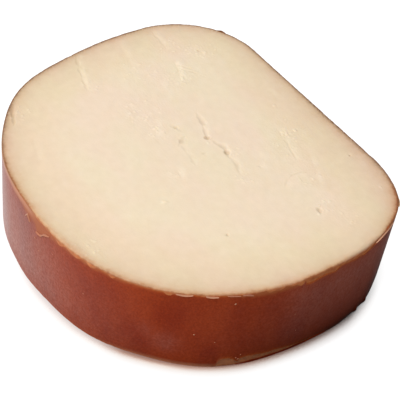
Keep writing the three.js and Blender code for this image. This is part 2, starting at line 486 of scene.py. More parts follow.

# %% [markdown]
# A crack isn't a clean line. Its course is kinked by noise, a second noise pinches it shut here
# and there, and the side away from the lip is steeper. What lies deep is darker: stained by smoke
# and moisture, and given painted shade. What broke off fresh is paler, and the lips are paler still
# with painted highlight. Both are kept as values for the material.

# %% Depth, stain and painted shade, and freshness and painted highlight of the marks
KINKS = [(5.0, 0.5), (1.6, 0.18)]  # mm, length and reach of a crack's kinks
PINCH_GRAIN = 3.4  # mm between the places where a crack is pinched
MEAN_OPENING = 0.7  # how far a crack is open on average
OPENING_SWING = 0.9  # how much that grows or shrinks between the pinched places
LEAST_OPENING = 0.15
HAIRLINE = 0.01  # what stays open at the ends of a crack
GENTLE_SIDE = 0.6  # share of a crack's width on the side of its lip
LIP_AWAY = 1.9  # mm from the middle of a crack to its lip
LIP_WIDE = 1.6  # mm
CRUMB_RISE = 0.18  # height of a crumb as a share of its radius
CRUMB_FRESH = 0.12  # how much paler than the face a crumb is
# darkening by depth is stain and painted shade, and paleness of the lips is painted highlight
STAIN_AND_SHADE_PER_MM = 1.0
MOST_STAIN_AND_SHADE = 0.45
FRESH_AND_HIGHLIGHT_PER_MM = 0.8


def dome(points, x, y, radius):
    """1 in the middle of a round spot, falling to 0 at its rim."""
    return np.clip(1 - (np.hypot(points[:, 0] - x, points[:, 1] - y) / radius) ** 2, 0, 1)


def press_marks(plan, cracks, pits, lumps):
    """Rise in mm, stain with painted shade, and freshness with painted highlight, given by the marks to each
    point of a face.
    """
    flat = np.column_stack([plan, np.zeros(len(plan))])
    kinked = plan.copy()
    for axis in (0, 1):
        for grain, reach in KINKS:
            kinked[:, axis] += reach * wavy(flat * MM, grain, 4.0 + axis)
    pinch = MEAN_OPENING + OPENING_SWING * wavy(flat * MM, PINCH_GRAIN, 8.0)
    pinch = np.clip(pinch, LEAST_OPENING, 1)
    rise, stain_and_shade, fresh_and_highlight = np.zeros((3, len(plan)))
    for wide, deep, lip, course in cracks:
        share, apart = beside(course, kinked)
        opened = pinch * np.sqrt(np.sin(math.pi * share)) + HAIRLINE
        reach = wide * opened * np.where(apart > 0, GENTLE_SIDE, 1 - GENTLE_SIDE)
        groove = np.clip(1 - np.abs(apart) / reach, 0, 1)
        groove = groove * groove * (3 - 2 * groove)
        ridge = opened * bell(apart - LIP_AWAY, LIP_WIDE)
        rise += lip * ridge - deep * opened * groove
        stain_and_shade = np.maximum(stain_and_shade, STAIN_AND_SHADE_PER_MM * deep * opened * groove)
        fresh_and_highlight = np.maximum(fresh_and_highlight, FRESH_AND_HIGHLIGHT_PER_MM * lip * ridge)
    for x, y, radius, deep in pits:
        hollow = dome(kinked, x, y, radius)
        rise -= deep * hollow
        stain_and_shade = np.maximum(stain_and_shade, STAIN_AND_SHADE_PER_MM * deep * hollow)
    for x, y, radius in lumps:
        lump = dome(kinked, x, y, radius)
        rise += CRUMB_RISE * radius * lump
        fresh_and_highlight = np.maximum(fresh_and_highlight, CRUMB_FRESH * lump)
    return rise, np.clip(stain_and_shade, 0, MOST_STAIN_AND_SHADE), fresh_and_highlight


# %% Marks of every vertex
points, on_top, on_foot = face_vertices(mesh)
plan = points[:, :2]
marked = np.zeros((3, len(points)))
marked[:, on_top] = press_marks(plan[on_top], CRACKS, PITS, crumbs)
marked[:, on_foot] = press_marks(plan[on_foot], FOOT_CRACKS, FOOT_PITS, [])
rise, stain_and_shade, fresh_and_highlight = marked
print("deepest mark", round(float(-rise.min()), 2), "mm")

# %% [markdown]
# The smoke has coloured the paste from the outside in, deepest at the right, and left the edge in
# front browner than the one at the back. No noise texture knows how far a point is from the rind,
# so each vertex carries that distance for the material. The same distance lets the face's gentle
# unevenness fade out before the edge.

# %% Distance from the rind
UNEVEN = [(26.0, 0.12), (7.0, 0.05), (3.2, 0.012)]  # mm, width and height of the face's gentle waves
SETTLE = 3.0  # mm from the edge over which the unevenness sets in
RIM_POINTS = 2000

rim_along = np.linspace(0, girth, RIM_POINTS, endpoint=False)
rim = ring_points(rim_along, THICKNESS, 0.0) / MM
rim_facing = rim - ring_points(rim_along, THICKNESS, 1.0) / MM
finder = kdtree.KDTree(len(rim))
for k, spot in enumerate(rim):
    finder.insert(spot, k)
finder.balance()
nearest = np.array([finder.find((x, y, THICKNESS))[1] for x, y, _ in points])
nearest_along = rim_along[nearest]
rind_depth = ((rim[nearest] - points) * rim_facing[nearest]).sum(1)
rind_depth = np.clip(rind_depth - leaning(nearest_along, points[:, 2]), 0, None)
smear = smeared(nearest_along)
smear *= points[:, 2] > THICKNESS / 2

uneven = sum(high * wavy(points * MM, wide, 0.0) for wide, high in UNEVEN)
uneven *= np.clip((rind_depth - COAT - EDGE_ROUND) / SETTLE, 0, 1)
shifted = points.copy()
shifted[on_top, 2] += (uneven + rise)[on_top]
shifted[on_foot, 2] += np.clip(uneven - rise, 0, None)[on_foot]
write_points(mesh, shifted * MM)
print("paste lies up to", round(float(rind_depth.max()), 1), "mm from the rind")

# %% Values for the paste's material
SKIN_SPARE = 0.1  # mm
SKIN_DEPTH = COAT + EDGE_ROUND + SKIN_SPARE  # mm from the outline within which a point can be rind
FOOT_FRESH = 0.07  # how much paler the rind is at the foot, where the coat tore off lately
SKIN_BLEND = 0.4  # share of the dragged paste over which its cream turns to the rind's brown
ROUGH_REACH = 1.4  # radii of a rough spot over which its roughness fades out
BODY_CREASE = 50  # degrees, from which an edge is drawn sharp
# mm along the outline, and how deep the smoke went there, compared with the front
SMOKED = [(0, 0.9), (120, 0.95), (200, 1.0), (270, 1.05), (300, 0.95), (368, 0.85), (385, 1.35), (430, 1.2),
          (488, 0.9)]
# mm along the outline, and how much browner the smoke left the edge there than at the back
BROWNED = [(160, 0.0), (185, 1.0), (388, 1.0), (402, 0.0)]


def smooth_and_count(piece, crease):
    """Shades the active piece smooth but for creases, and prints its name and triangles."""
    bpy.ops.object.shade_smooth_by_angle(angle=math.radians(crease))
    piece.data.calc_loop_triangles()
    print(piece.name, "has", len(piece.data.loop_triangles), "triangles")


from_face = np.minimum(points[:, 2], THICKNESS - points[:, 2])
blended = SKIN_BLEND * smear
skin = np.clip((from_face - blended) / (EDGE_ROUND + blended), 0, 1)
skin[rind_depth > SKIN_DEPTH] = 0
rough = np.zeros(len(points))
for x, y, radius, _ in ROUGH_SPOTS:
    rough += bell(np.hypot(plan[:, 0] - x, plan[:, 1] - y), ROUGH_REACH * radius)
write_values(mesh, "rind_mm", (rind_depth + smear) / follow(SMOKED, nearest_along))
write_values(mesh, "browned", follow(BROWNED, nearest_along))
write_values(mesh, "skin", skin)
write_values(mesh, "stain_and_shade", stain_and_shade)
write_values(mesh, "fresh_and_highlight", fresh_and_highlight + FOOT_FRESH * (skin > 0) * (points[:, 2] < THICKNESS / 2))
write_values(mesh, "rough", np.clip(rough, 0, 1))
select_vertices(body, np.ones(len(points), bool))
smooth_and_count(body, BODY_CREASE)

# %% [markdown]
# ## The coat
#
# The coat is a thin skin round the side. Its edges were cut with the slab, so they follow the cut
# faces, a little lower where paste covers the rim. It is brittle: it has torn away below the upper
# edge on the right and along the foot at the front, and on the left it is only rubbed thin. It is
# built as an open band of rings between a lower and an upper edge line, and Solidify then gives it
# its thickness inwards, so its outside stays on the outline.

# %% Tears and wear of the coat
UPPER_WORN = 0.1  # mm worn off the coat at its upper edge
UPPER_LEAST = 0.05  # mm that it stays below the cut face at least
FOOT_WORN = 0.3  # mm worn off at the foot
FOOT_LEAST = 0.1  # mm that it stays above the table at least
# mm along the outline and mm below the upper edge
UPPER_TEARS = [
    [(319.8, 0.0), (320.6, 2.4), (323, 3.0), (326, 2.4), (329, 2.0), (331, 2.2), (334.5, 2.6), (337, 1.0),
     (343, 1.4), (350, 1.9), (358, 1.2), (364, 0.0)],
]
# mm along the outline and mm above the lower edge
FOOT_TEARS = [
    [(289.4, 0.0), (290.2, 3.0), (291.6, 4.2), (294, 4.3), (296, 3.2), (297.4, 1.6), (298.4, 3.4), (301, 3.7),
     (305, 3.3), (309, 2.6), (312, 2.8), (316, 2.3), (320, 1.7), (326, 1.4), (332, 0.4), (336, 0.0)],
    [(120, 0.0), (121.5, 2.4), (126, 3.4), (131, 1.6), (137, 2.2), (141, 0.0)],
    [(460, 0.0), (462, 1.8), (468, 2.6), (474, 0.0)],
]
# mm along the outline, and mm below the upper edge to which the coat is rubbed thin
WORN = [(184, 0.0), (190, 1.8), (199, 2.6), (201, 4.4), (204, 4.6), (205.5, 3.6), (208.6, 3.8), (209.6, 6.6),
        (212.6, 6.3), (214.5, 4.4), (218, 2.2), (226, 1.4), (240, 1.0), (256, 0.6), (272, 0.0), (288, 0.0),
        (296, 1.0), (306, 2.0), (317, 1.6), (321, 0.0)]
SLIVERS = [(19.4, 2.2, 0.45)]  # mm along, half length and height of film that stands above the face
SLIVER_POWER = 0.7  # below 1, so that it is blunt
CHIP_GRAIN = 4.5  # mm along the edge from one chip to the next
CHIP_DEEP = 0.3  # mm
CHIP_FROM = 0.3  # value of the noise above which the edge is chipped
NICKS = [(1.1, 0.1), (2.3, 0.1)]  # mm, length and depth of the finer nicks
print(len(UPPER_TEARS), "tear at the upper edge,", len(FOOT_TEARS), "at the foot")

# %% Edge lines of the coat


def torn(tears, along):
    """How much of the coat is missing at each place along the outline, in mm."""
    missing = np.zeros(len(along))
    for tear in tears:
        missing = np.maximum(missing, follow(tear, along))
    return missing


def chipped(along, seed):
    """Small chips out of a brittle edge, in mm."""
    chips = CHIP_DEEP * np.clip(wander(along, CHIP_GRAIN, seed) - CHIP_FROM, 0, None)
    for number, (grain, deep) in enumerate(NICKS, 1):
        chips += deep * wander(along, grain, seed + number)
    return chips


def coat_edges(along):
    """Lower and upper edge line of the coat, in mm above the table."""
    low = FOOT_WORN + torn(FOOT_TEARS, along) + chipped(along, 20.0)
    high = THICKNESS - UPPER_WORN - smeared(along) - torn(UPPER_TEARS, along) - chipped(along, 30.0)
    high = np.clip(high, None, THICKNESS - UPPER_LEAST)
    for place, half, tall in SLIVERS:
        high += tall * np.clip(1 - np.abs(along - place) / half, 0, 1) ** SLIVER_POWER
    return np.clip(low, FOOT_LEAST, None), high


# %% [markdown]
# A torn edge of the film curls off the rind, and a few loose spots stand off it. The coat follows
# the loaf's gentle dents, and is drawn in where it meets the table.

# %% Lift of the coat off the rind
DENTS = [(30.0, 0.07), (9.0, 0.03)]  # mm, width and depth of the coat's gentle dents
CURL = 0.1  # mm that a torn edge stands off the rind
CURL_REACH = 1.3  # mm from the edge over which it does
CURL_FULL = 2.0  # mm that are torn off where an edge curls fully
CURL_UNEVEN = (2.0, 0.4)  # mm along the edge from one curl to the next, and how much they differ
TUCK = 0.15  # mm that the coat is drawn in where it meets the table
TUCK_HIGH = 1.2  # mm above the table over which it is
# mm along, height, reach and lift of loose spots
FLAPS = [(384.0, 37.4, 2.2, 0.25), (19.4, 38.2, 1.6, 0.4), (362, 1.2, 1.7, 0.7), (355, 0.8, 1.3, 1.0)]
FLAP_UNEVEN = (1.2, 0.3)  # mm along them from one crease to the next, and how much they differ


def fitful(along, grain, swing, seed):
    """A share of at most 1 that comes and goes along the outline."""
    return 1 - swing + swing * wander(along, grain, seed)


def coat_lift(along, height, low, high):
    """How far the coat stands off the outline, in mm."""
    spots = ring_points(along, height, 0.0)
    lift = sum(deep * wavy(spots, wide, 0.0) for wide, deep in DENTS)
    for edge_at, tears in ((high, UPPER_TEARS), (low, FOOT_TEARS)):
        loose = np.clip(torn(tears, along) / CURL_FULL, 0, 1) * fitful(along, *CURL_UNEVEN, 40.0)
        lift += CURL * loose * bell(height - edge_at, CURL_REACH)
    for place, flap_height, reach, out in FLAPS:
        away = np.hypot(along - place, height - flap_height)
        lift += out * bell(away, reach) * fitful(along, *FLAP_UNEVEN, 50.0)
    return lift - TUCK * bell(height, TUCK_HIGH)


# %% Band of the coat
COAT_RING_POINTS = 976
COAT_ROWS = 24
CROWDING = 0.13  # how much closer the rows lie at the two edges


def coat_ring(share):
    """Where a ring of the coat lies, that share of the way from its lower to its upper edge line."""

    def place(along):
        low, high = coat_edges(along)
        height = low + share * (high - low)
        return ring_points(along, height, -coat_lift(along, height, low, high))

    return place


shares = np.linspace(0, 1, COAT_ROWS + 1)
shares = shares - CROWDING * np.sin(2 * math.pi * shares)
coat = start_ring("rind_coat", COAT_RING_POINTS, coat_ring(shares[0]))
select_vertices(coat, np.ones(COAT_RING_POINTS, bool))
for share in shares[1:]:
    add_ring(coat, coat_ring(share))

along = read_values(coat.data, "along")
height = read_points(coat.data)[:, 2] / MM
low, high = coat_edges(along)
print("coat:", len(coat.data.polygons), "faces in", COAT_ROWS, "rows")

# %% [markdown]
# Each vertex of the coat carries values for its material: its distance from the nearer edge line,
# how near it is to the knife's cut, how far the coat is rubbed off, how much pale bloom and painted
# sheen dull it, how much painted shade darkens it at the foot, and how pale it is: near the upper
# edge as stretched film and painted highlight, and along part of the foot as painted highlight.
# Solidify then keeps them on the inside too.

# %% Cut, wear and edges of the coat
THIN_REACH = 8.0  # mm from its edges in which the coat gets thin
CUT_LINE = 0.3  # mm below the upper edge over which the knife's line fades out
SMEAR_HIDES = 8  # how much of that line each mm of dragged paste hides
FACE_MARGIN = 0.1  # mm below the cut face from which the coat is cut through
RUB_RAGGED = (1.6, 0.7)  # mm, length and reach of the ragged edge where the coat is rubbed thin
RUB_BLEND = 2.0  # mm over which it gets thin
STRETCH_AND_HIGHLIGHT_FROM = 3.0  # mm below the upper edge, where stretched film begins
STRETCH_AND_HIGHLIGHT_BLEND = 1.6  # mm from there to where it is palest
# mm along the outline, and how pale the coat is at its upper edge, as stretched film and painted highlight
STRETCHED_AND_HIGHLIT = [(150, 0.0), (165, 0.26), (195, 0.26), (204, 0.2), (209, 0.0)]
# mm along the outline, and how pale a painted highlight makes the coat at its foot
FOOT_HIGHLIGHT = [(240, 0.0), (260, 0.1), (275, 0.18), (286, 0.24), (292, 0.0)]
FOOT_HIGHLIGHT_HIGH = 1.7  # mm above its lower edge, where that ends

rubbed = follow(WORN, along)
whole = np.clip(1 - torn(UPPER_TEARS, along) - SMEAR_HIDES * smeared(along), 0, 1)
cut = whole * bell(high - height, CUT_LINE)
cut[height > THICKNESS - FACE_MARGIN] = 1
grain, reach = RUB_RAGGED
ragged = height - (high - rubbed) + reach * wavy(read_points(coat.data), grain, 70.0)
worn = np.clip(rubbed, 0, 1) * np.clip(ragged / RUB_BLEND + 0.5, 0, 1)
# paler near the upper edge as stretched film and painted highlight, and along part of the foot as painted
# highlight
stretch_and_highlight = follow(STRETCHED_AND_HIGHLIT, along) * np.clip((STRETCH_AND_HIGHLIGHT_FROM - high + height) / STRETCH_AND_HIGHLIGHT_BLEND, 0, 1)
foot_highlight = follow(FOOT_HIGHLIGHT, along) * np.clip(FOOT_HIGHLIGHT_HIGH - height + low, 0, 1)
write_values(coat.data, "edge_near", np.minimum(high - height, height - low) / THIN_REACH)
write_values(coat.data, "cut", cut)
write_values(coat.data, "worn", worn)
write_values(coat.data, "pale", stretch_and_highlight + foot_highlight)
print("coat is rubbed thin at", round(100 * float((worn > 0.5).mean()), 1), "% of its vertices")

# %% Bloom and painted sheen, painted shade at the foot of the coat, and its thickness
OVERLAP = 0.1  # mm that the coat's back reaches into the rind
COAT_CREASE = 45  # degrees
# mm along the outline, and how much bloom and painted sheen dull the coat at the foot and at the upper edge
BLOOM_AND_SHEEN = [(0, 0.7, 0.3), (150, 2.2, 0.9), (185, 2.8, 1.1), (208, 2.1, 0.65), (232, 0.75, 0.25),
         (250, 0.4, 0.1), (268, 0.1, 0.0), (285, 0.2, 0.1), (300, 0.3, 0.15), (311, 0.3, 0.35),
         (320, 0.4, 1.0), (345, 0.3, 1.4), (370, 0.3, 1.6), (488, 0.7, 0.3)]
# mm along, height, reach and bloom of spots that something rubbed dull
SCUFFS = [(270, 11.0, 5.0, 0.5), (262, 16.0, 3.0, 0.25)]
# mm along the outline, and how much painted shade darkens the coat at the foot
FOOT_SHADE = [(0, 0.4), (60, 0.2), (120, 0.3), (180, 0.0), (285, 0.0), (300, 0.2), (320, 0.45), (345, 1.0),
          (370, 1.0), (430, 0.6), (488, 0.4)]
FOOT_SHADE_HIGH = 4.5  # mm above the foot over which that fades out


def thicken(piece, thick, offset):
    """Gives the active piece a thickness in mm: inwards at an offset of -1, both ways at 0."""
    wall = piece.modifiers.new("wall", "SOLIDIFY")
    wall.thickness = thick * MM
    wall.offset = offset
    bpy.ops.object.modifier_apply(modifier=wall.name)


# real bloom, with a painted sheen laid on the left and at the upper right
foot_bloom_and_sheen = follow(BLOOM_AND_SHEEN, along)
bloom_and_sheen = foot_bloom_and_sheen + (follow(BLOOM_AND_SHEEN, along, 2) - foot_bloom_and_sheen) * height / THICKNESS
for place, middle, reach, dull in SCUFFS:
    bloom_and_sheen += dull * bell(np.hypot(along - place, height - middle), reach)
write_values(coat.data, "bloom_and_sheen", bloom_and_sheen)
# painted shade, darkest at the foot and fading out upwards
write_values(coat.data, "painted_foot_shade", follow(FOOT_SHADE, along) * np.exp(-height / FOOT_SHADE_HIGH))
thicken(coat, COAT + OVERLAP, -1)
smooth_and_count(coat, COAT_CREASE)

# %% [markdown]
# ## Torn film
#
# Where the coat tore, shreds of its stretched film stay behind. Most are paler than the coat, partly
# as a painted highlight, and curl up along one edge. Each is a grid whose columns are laid along a
# course over the side, and Solidify gives it a thickness. All are then joined.

# %% Shreds of film
# the paleness of a shred is partly painted highlight
SHREDS = [
    (1.3, 0.35, 0.3, [(200.8, 31.4), (201.8, 32.6), (202.6, 33.4), (203.4, 32.6), (204.6, 31.1)]),
    (1.0, 0.32, 0.3, [(209.2, 30.2), (211.4, 30.3), (212.9, 31.1), (214.4, 32.9), (218.0, 34.7)]),
    (0.8, 0.45, 0.3, [(272.0, 37.3), (274.4, 37.0), (276.6, 37.1), (278.0, 37.4)]),
    (0.8, 0.45, 0.3, [(282.4, 37.1), (284.0, 36.8), (287.0, 36.7)]),
    (0.6, 0.3, 0.2, [(290.0, 37.1), (292.6, 36.9), (294.8, 36.6)]),
    (0.7, 0.3, 0.2, [(295.4, 36.8), (297.8, 36.7), (299.6, 36.0)]),
    (0.35, 0.65, 0.4, [(357.0, 36.3), (361.0, 36.7), (365.0, 37.0), (368.0, 37.1), (371.0, 37.2)]),
    (0.9, 1.0, 0.6, [(381.4, 36.6), (383.4, 37.3), (385.8, 36.7)]),
    (1.6, 0.0, 0.0, [(297.0, 0.6), (304.0, 0.7), (316.0, 0.6), (326.0, 0.6), (337.0, 0.5)]),
    (0.7, 0.5, 0.3, [(121.0, 2.6), (123.4, 3.6), (126.4, 4.0)]),
    (0.6, 0.5, 0.3, [(462.0, 2.2), (465.0, 2.9), (468.6, 3.1)]),
]  # width, paleness, mm that the lower edge stands off, and course as mm along and height
SHRED_COLUMNS = 24
SHRED_ROWS = 4
SHRED_THICK = 0.1  # mm
SHRED_CREASE = 60  # degrees
SHRED_WIDTH = 0.75  # share of its full width that a shred has on average
SHRED_SWING = 0.5  # how much that grows or shrinks along it
SHRED_GRAIN = 0.9  # mm along it from one wide place to the next
SHRED_END = 0.02  # keeps the ends of a shred from having no width


def join_pieces(pieces, name):
    """Joins pieces into one with this name."""
    bpy.ops.object.select_all(action="DESELECT")
    for piece in pieces:
        piece.select_set(True)
    bpy.context.view_layer.objects.active = pieces[0]
    bpy.ops.object.join()
    pieces[0].name = name
    pieces[0].data.name = name
    return pieces[0]


# %% Lay and join the shreds
shreds = []
for number, (wide, pale, curl, course) in enumerate(SHREDS):
    bpy.ops.object.select_all(action="DESELECT")
    bpy.ops.mesh.primitive_grid_add(x_subdivisions=SHRED_COLUMNS, y_subdivisions=SHRED_ROWS, size=1)
    shred = bpy.context.object
    share, across, _ = read_points(shred.data).T
    share = share + 0.5
    course = np.array(course)
    passed = passed_along(course)
    place, height = (np.interp(share * passed[-1], passed, course[:, axis]) for axis in (0, 1))
    ragged = SHRED_WIDTH + SHRED_SWING * wander(place, SHRED_GRAIN, 80.0 + number)
    height = height + wide * across * ragged * np.sqrt(np.sin(math.pi * share) + SHRED_END)
    height = np.clip(height, SHRED_THICK, None)
    lift = coat_lift(place, height, *coat_edges(place)) + curl * (0.5 - across) ** 2
    write_points(shred.data, ring_points(place, height, -lift - SHRED_THICK / 2))
    write_values(shred.data, "pale", np.full(len(share), pale))
    thicken(shred, SHRED_THICK, 0)
    shreds.append(shred)

film_shreds = join_pieces(shreds, "film_shreds")
bpy.ops.object.mode_set(mode="EDIT")
bpy.ops.mesh.select_all(action="SELECT")
bpy.ops.mesh.normals_make_consistent(inside=False)
bpy.ops.object.mode_set(mode="OBJECT")
smooth_and_count(film_shreds, SHRED_CREASE)

# %% [markdown]
# ## Crumbs
#
# A few crumbs stick to the coat and took on its colour, most of them well under a millimetre. One
# is modelled from an icosphere: its vertices are shaken and it is squeezed flatter. The crumbs on
# the coat are copies of it, each with its own mesh, turned, sized and half sunk into the coat. The
# first one is then removed and the copies are joined.

# %% One crumb, and the places of its copies
CRUMB_PLACES = [
    (293.3, 32.8, 0.42, 0.45),
    (280.2, 17.3, 0.34, 0.45),
    (288.0, 13.5, 0.2, 0.5),
    (208.4, 26.2, 0.36, 0.4),
    (211.0, 21.8, 0.24, 0.4),
    (209.6, 23.6, 0.2, 0.4),
    (237.0, 20.5, 0.18, 0.5),
    (318.5, 20.0, 0.16, 0.5),
    (296.8, 4.2, 0.35, 0.3),
    (297.6, 3.4, 0.45, 0.25),
    (298.4, 5.5, 0.3, 0.3),
]  # mm along, height, radius and paleness
LOOSE_CRUMBS = 30
LOOSE_RADII = (0.09, 0.14)  # mm, the least and what is added at most, which is rare
LOOSE_HEIGHTS = (3, 34)  # mm
LOOSE_PALE = 0.4
CRUMB_SHAKE = 0.25  # how far a crumb's vertices are shaken, as a share of its radius
CRUMB_SQUEEZE = (1.0, 0.75, 0.55)

bpy.ops.object.select_all(action="DESELECT")
bpy.ops.mesh.primitive_ico_sphere_add(subdivisions=2, radius=MM)
crumb = bpy.context.object
bpy.ops.object.mode_set(mode="EDIT")
bpy.ops.transform.vertex_random(offset=CRUMB_SHAKE * MM, seed=3)
bpy.ops.transform.resize(value=CRUMB_SQUEEZE)
bpy.ops.object.mode_set(mode="OBJECT")
crumb_shape = read_points(crumb.data)
print("one crumb:", len(crumb_shape), "vertices")

# %% Copies of the crumb
rng = np.random.default_rng(5)
crumb_places = list(CRUMB_PLACES)
for _ in range(LOOSE_CRUMBS):
    radius = LOOSE_RADII[0] + LOOSE_RADII[1] * rng.uniform() ** 3
    crumb_places.append((rng.uniform(0, girth), rng.uniform(*LOOSE_HEIGHTS), radius, LOOSE_PALE))
copies = []
for place, height, radius, pale in crumb_places:
    spot = np.array([place])
    lift = coat_lift(spot, np.array([height]), *coat_edges(spot))
    middle = Vector(ring_points(spot, height, -lift)[0])
    facing = middle - Vector(ring_points(spot, height, 1 - lift)[0])
    turn = facing.to_track_quat("Z", "Y") @ Quaternion((0, 0, 1), rng.uniform(0, 2 * math.pi))
    copy = crumb.copy()
    copy.data = crumb.data.copy()
    bpy.context.collection.objects.link(copy)
    write_points(copy.data, np.array([middle + turn @ Vector(point) * radius for point in crumb_shape]))
    write_values(copy.data, "pale", np.full(len(crumb_shape), pale))
    copies.append(copy)
bpy.data.objects.remove(crumb)

crumb_bits = join_pieces(copies, "crumbs")
bpy.ops.object.shade_smooth()
for piece in (crumb_bits, film_shreds):
    write_values(piece.data, "edge_near", np.ones(len(piece.data.vertices)))
print("crumbs:", len(copies), "with", len(crumb_bits.data.polygons), "faces")

# %% [markdown]
# ## Materials
#
# One small function adds a node with its settings and gives its output. Another sets or links the
# inputs of that node, and of the finished shader. Colours are sRGB hex values, as a colour picker
# shows them, turned to the linear values that nodes work in.

# %% Material helpers


def linear(code):
    """An sRGB hex colour as linear red, green, blue and alpha."""
    parts = [int(code[k : k + 2], 16) / 255 for k in (1, 3, 5)]
    return [c / 12.92 if c <= 0.04045 else ((c + 0.055) / 1.055) ** 2.4 for c in parts] + [1.0]


def feed(tree, node, inputs):
    """Sets a node's inputs, by name or in order, to values or to the outputs of other nodes."""
    in_use = [socket for socket in node.inputs if socket.enabled]
    named = isinstance(inputs, dict)
    for key, value in inputs.items() if named else enumerate(inputs):
        socket = node.inputs[key] if named else in_use[key]
        if isinstance(value, bpy.types.NodeSocket):
            tree.links.new(value, socket)
        else:
            socket.default_value = value


def add_node(tree, kind, inputs=(), stops=(), output=None, **settings):
    """Adds a node with its settings, and gives the output that is named, or the first in use."""
    made = tree.nodes.new("ShaderNode" + kind)
    for name, value in settings.items():
        setattr(made, name, value)
    for place, (position, code) in enumerate(stops):
        ramp = made.color_ramp.elements
        stop = ramp[place] if place < 2 else ramp.new(position)
        stop.position = position
        stop.color = linear(code)
    feed(tree, made, inputs)
    return made.outputs[output] if output else next(socket for socket in made.outputs if socket.enabled)


def start_material(name, piece):
    """A new node material on the piece: its node tree and its shader."""
    material = bpy.data.materials.new(name)
    material.use_nodes = True
    piece.data.materials.clear()
    piece.data.materials.append(material)
    return material.node_tree, material.node_tree.nodes["Principled BSDF"]


def per_mm(size):
    """The texture scale that gives features of about this size in mm."""
    return 1 / (size * MM)


# %% [markdown]
# ## The paste
#
# Firm goat cheese is a dense curd with fat in it: light goes in a few millimetres and comes out
# softened, and a fresh cut has a faint fatty sheen. The eye sees cream with large, very soft
# patches that lean to yellow or to pink and are drawn out the way the knife went, a grain of curd
# finer than a millimetre, and tan to brown where the smoke came in from the rind. The outermost
# skin, bare where the coat is torn off, is ochre brown.

# %% Cream of the paste
YELLOW_CREAM = "#DACAB0"
PINK_CREAM = "#DBC7B1"
KNIFE_TURN = (0, 0, 0.5)  # radians, the way the knife went over the face

tree, shader = start_material("smoked_goat_cheese_paste", body)
place = add_node(tree, "TexCoord", output="Object")
drawn_out = add_node(tree, "Mapping", {"Vector": place, "Rotation": KNIFE_TURN, "Scale": (0.5, 1.0, 1.0)})
patches = add_node(tree, "TexNoise", {"Vector": drawn_out, "Scale": per_mm(20), "Detail": 2.0})
cream = add_node(tree, "ValToRGB", {"Fac": patches}, [(0.38, YELLOW_CREAM), (0.62, PINK_CREAM)])
curd = add_node(tree, "TexNoise", {"Vector": place, "Scale": per_mm(3.5), "Detail": 3.0})
curd_shade = add_node(tree, "ValToRGB", {"Fac": curd}, [(0.3, "#FBFAF8"), (0.7, "#FFFFFF")])
mottled = add_node(tree, "Mix", [1.0, cream, curd_shade], data_type="RGBA", blend_type="MULTIPLY")
print("cream from", YELLOW_CREAM, "to", PINK_CREAM)

# %% Smoke and rind in the paste
SMOKE_REACH = 30.0  # mm that the smoke's last trace reaches in
SMOKE = [
    (0.3, "#7E6A5C", "#8E5A3A"),
    (0.7, "#AC9685", "#AE7E60"),
    (1.1, "#CDB8A8", "#CFAC92"),
    (1.7, "#DDCDC0", "#DFC7B5"),
    (2.6, "#E9DCD2", "#EADBCF"),
    (4.5, "#F1E9E1", "#F1E9E1"),
    (8.0, "#F6F2EB", "#F6F2EB"),
    (15.0, "#FBF9F2", "#FBF9F2"),
    (30.0, "#FFFFFF", "#FFFFFF"),
]  # mm from the rind, and what the smoke leaves of the cream at the back and where it browned it

rind_mm = add_node(tree, "Attribute", output="Fac", attribute_name="rind_mm")
drift = add_node(tree, "TexNoise", {"Vector": place, "Scale": per_mm(5), "Detail": 2.0})
drift_share = add_node(
    tree, "MapRange", {"Value": drift, "From Min": 0.3, "From Max": 0.7, "To Min": 0.85, "To Max": 1.15}
)
fray = add_node(tree, "TexNoise", {"Vector": place, "Scale": per_mm(1.4), "Detail": 3.0})
fray_mm = add_node(
    tree, "MapRange", {"Value": fray, "From Min": 0.3, "From Max": 0.7, "To Min": -0.1, "To Max": 0.35}
)
smoke_depth = add_node(tree, "Math", [rind_mm, drift_share, fray_mm], operation="MULTIPLY_ADD")
smoke_share = add_node(tree, "Math", [smoke_depth, SMOKE_REACH], operation="DIVIDE")
back_stops = [(deep / SMOKE_REACH, code) for deep, code, _ in SMOKE]
brown_stops = [(deep / SMOKE_REACH, code) for deep, _, code in SMOKE]
back_smoke = add_node(tree, "ValToRGB", {"Fac": smoke_share}, back_stops)
brown_smoke = add_node(tree, "ValToRGB", {"Fac": smoke_share}, brown_stops)
browned = add_node(tree, "Attribute", output="Fac", attribute_name="browned")
smoke = add_node(tree, "Mix", [browned, back_smoke, brown_smoke], data_type="RGBA")
smoked = add_node(tree, "Mix", [1.0, mottled, smoke], data_type="RGBA", blend_type="MULTIPLY")
rind_grain = add_node(tree, "TexNoise", {"Vector": place, "Scale": per_mm(2), "Detail": 4.0})
rind = add_node(tree, "ValToRGB", {"Fac": rind_grain}, [(0.35, "#A0501D"), (0.65, "#BC682E")])
skin_share = add_node(tree, "Attribute", output="Fac", attribute_name="skin")
colour = add_node(tree, "Mix", [skin_share, smoked, rind], data_type="RGBA")
print("smoke reaches", SMOKE_REACH, "mm into the paste")

# %% Marks and grain of the paste
# darkening of the marks is stain and painted shade; paleness of lips is partly painted highlight
MARK_COLOURS = {"stain_and_shade": "#A88A62", "fresh_and_highlight": "#FBF1DC"}
DRAG_SHARE = 0.6  # height of the knife's drag marks, compared with the grain
GRAIN_HIGH = 0.1  # mm
GRAIN_STRENGTH = {"To Min": 0.33, "To Max": 0.95}  # on the smooth face and in a rough spot

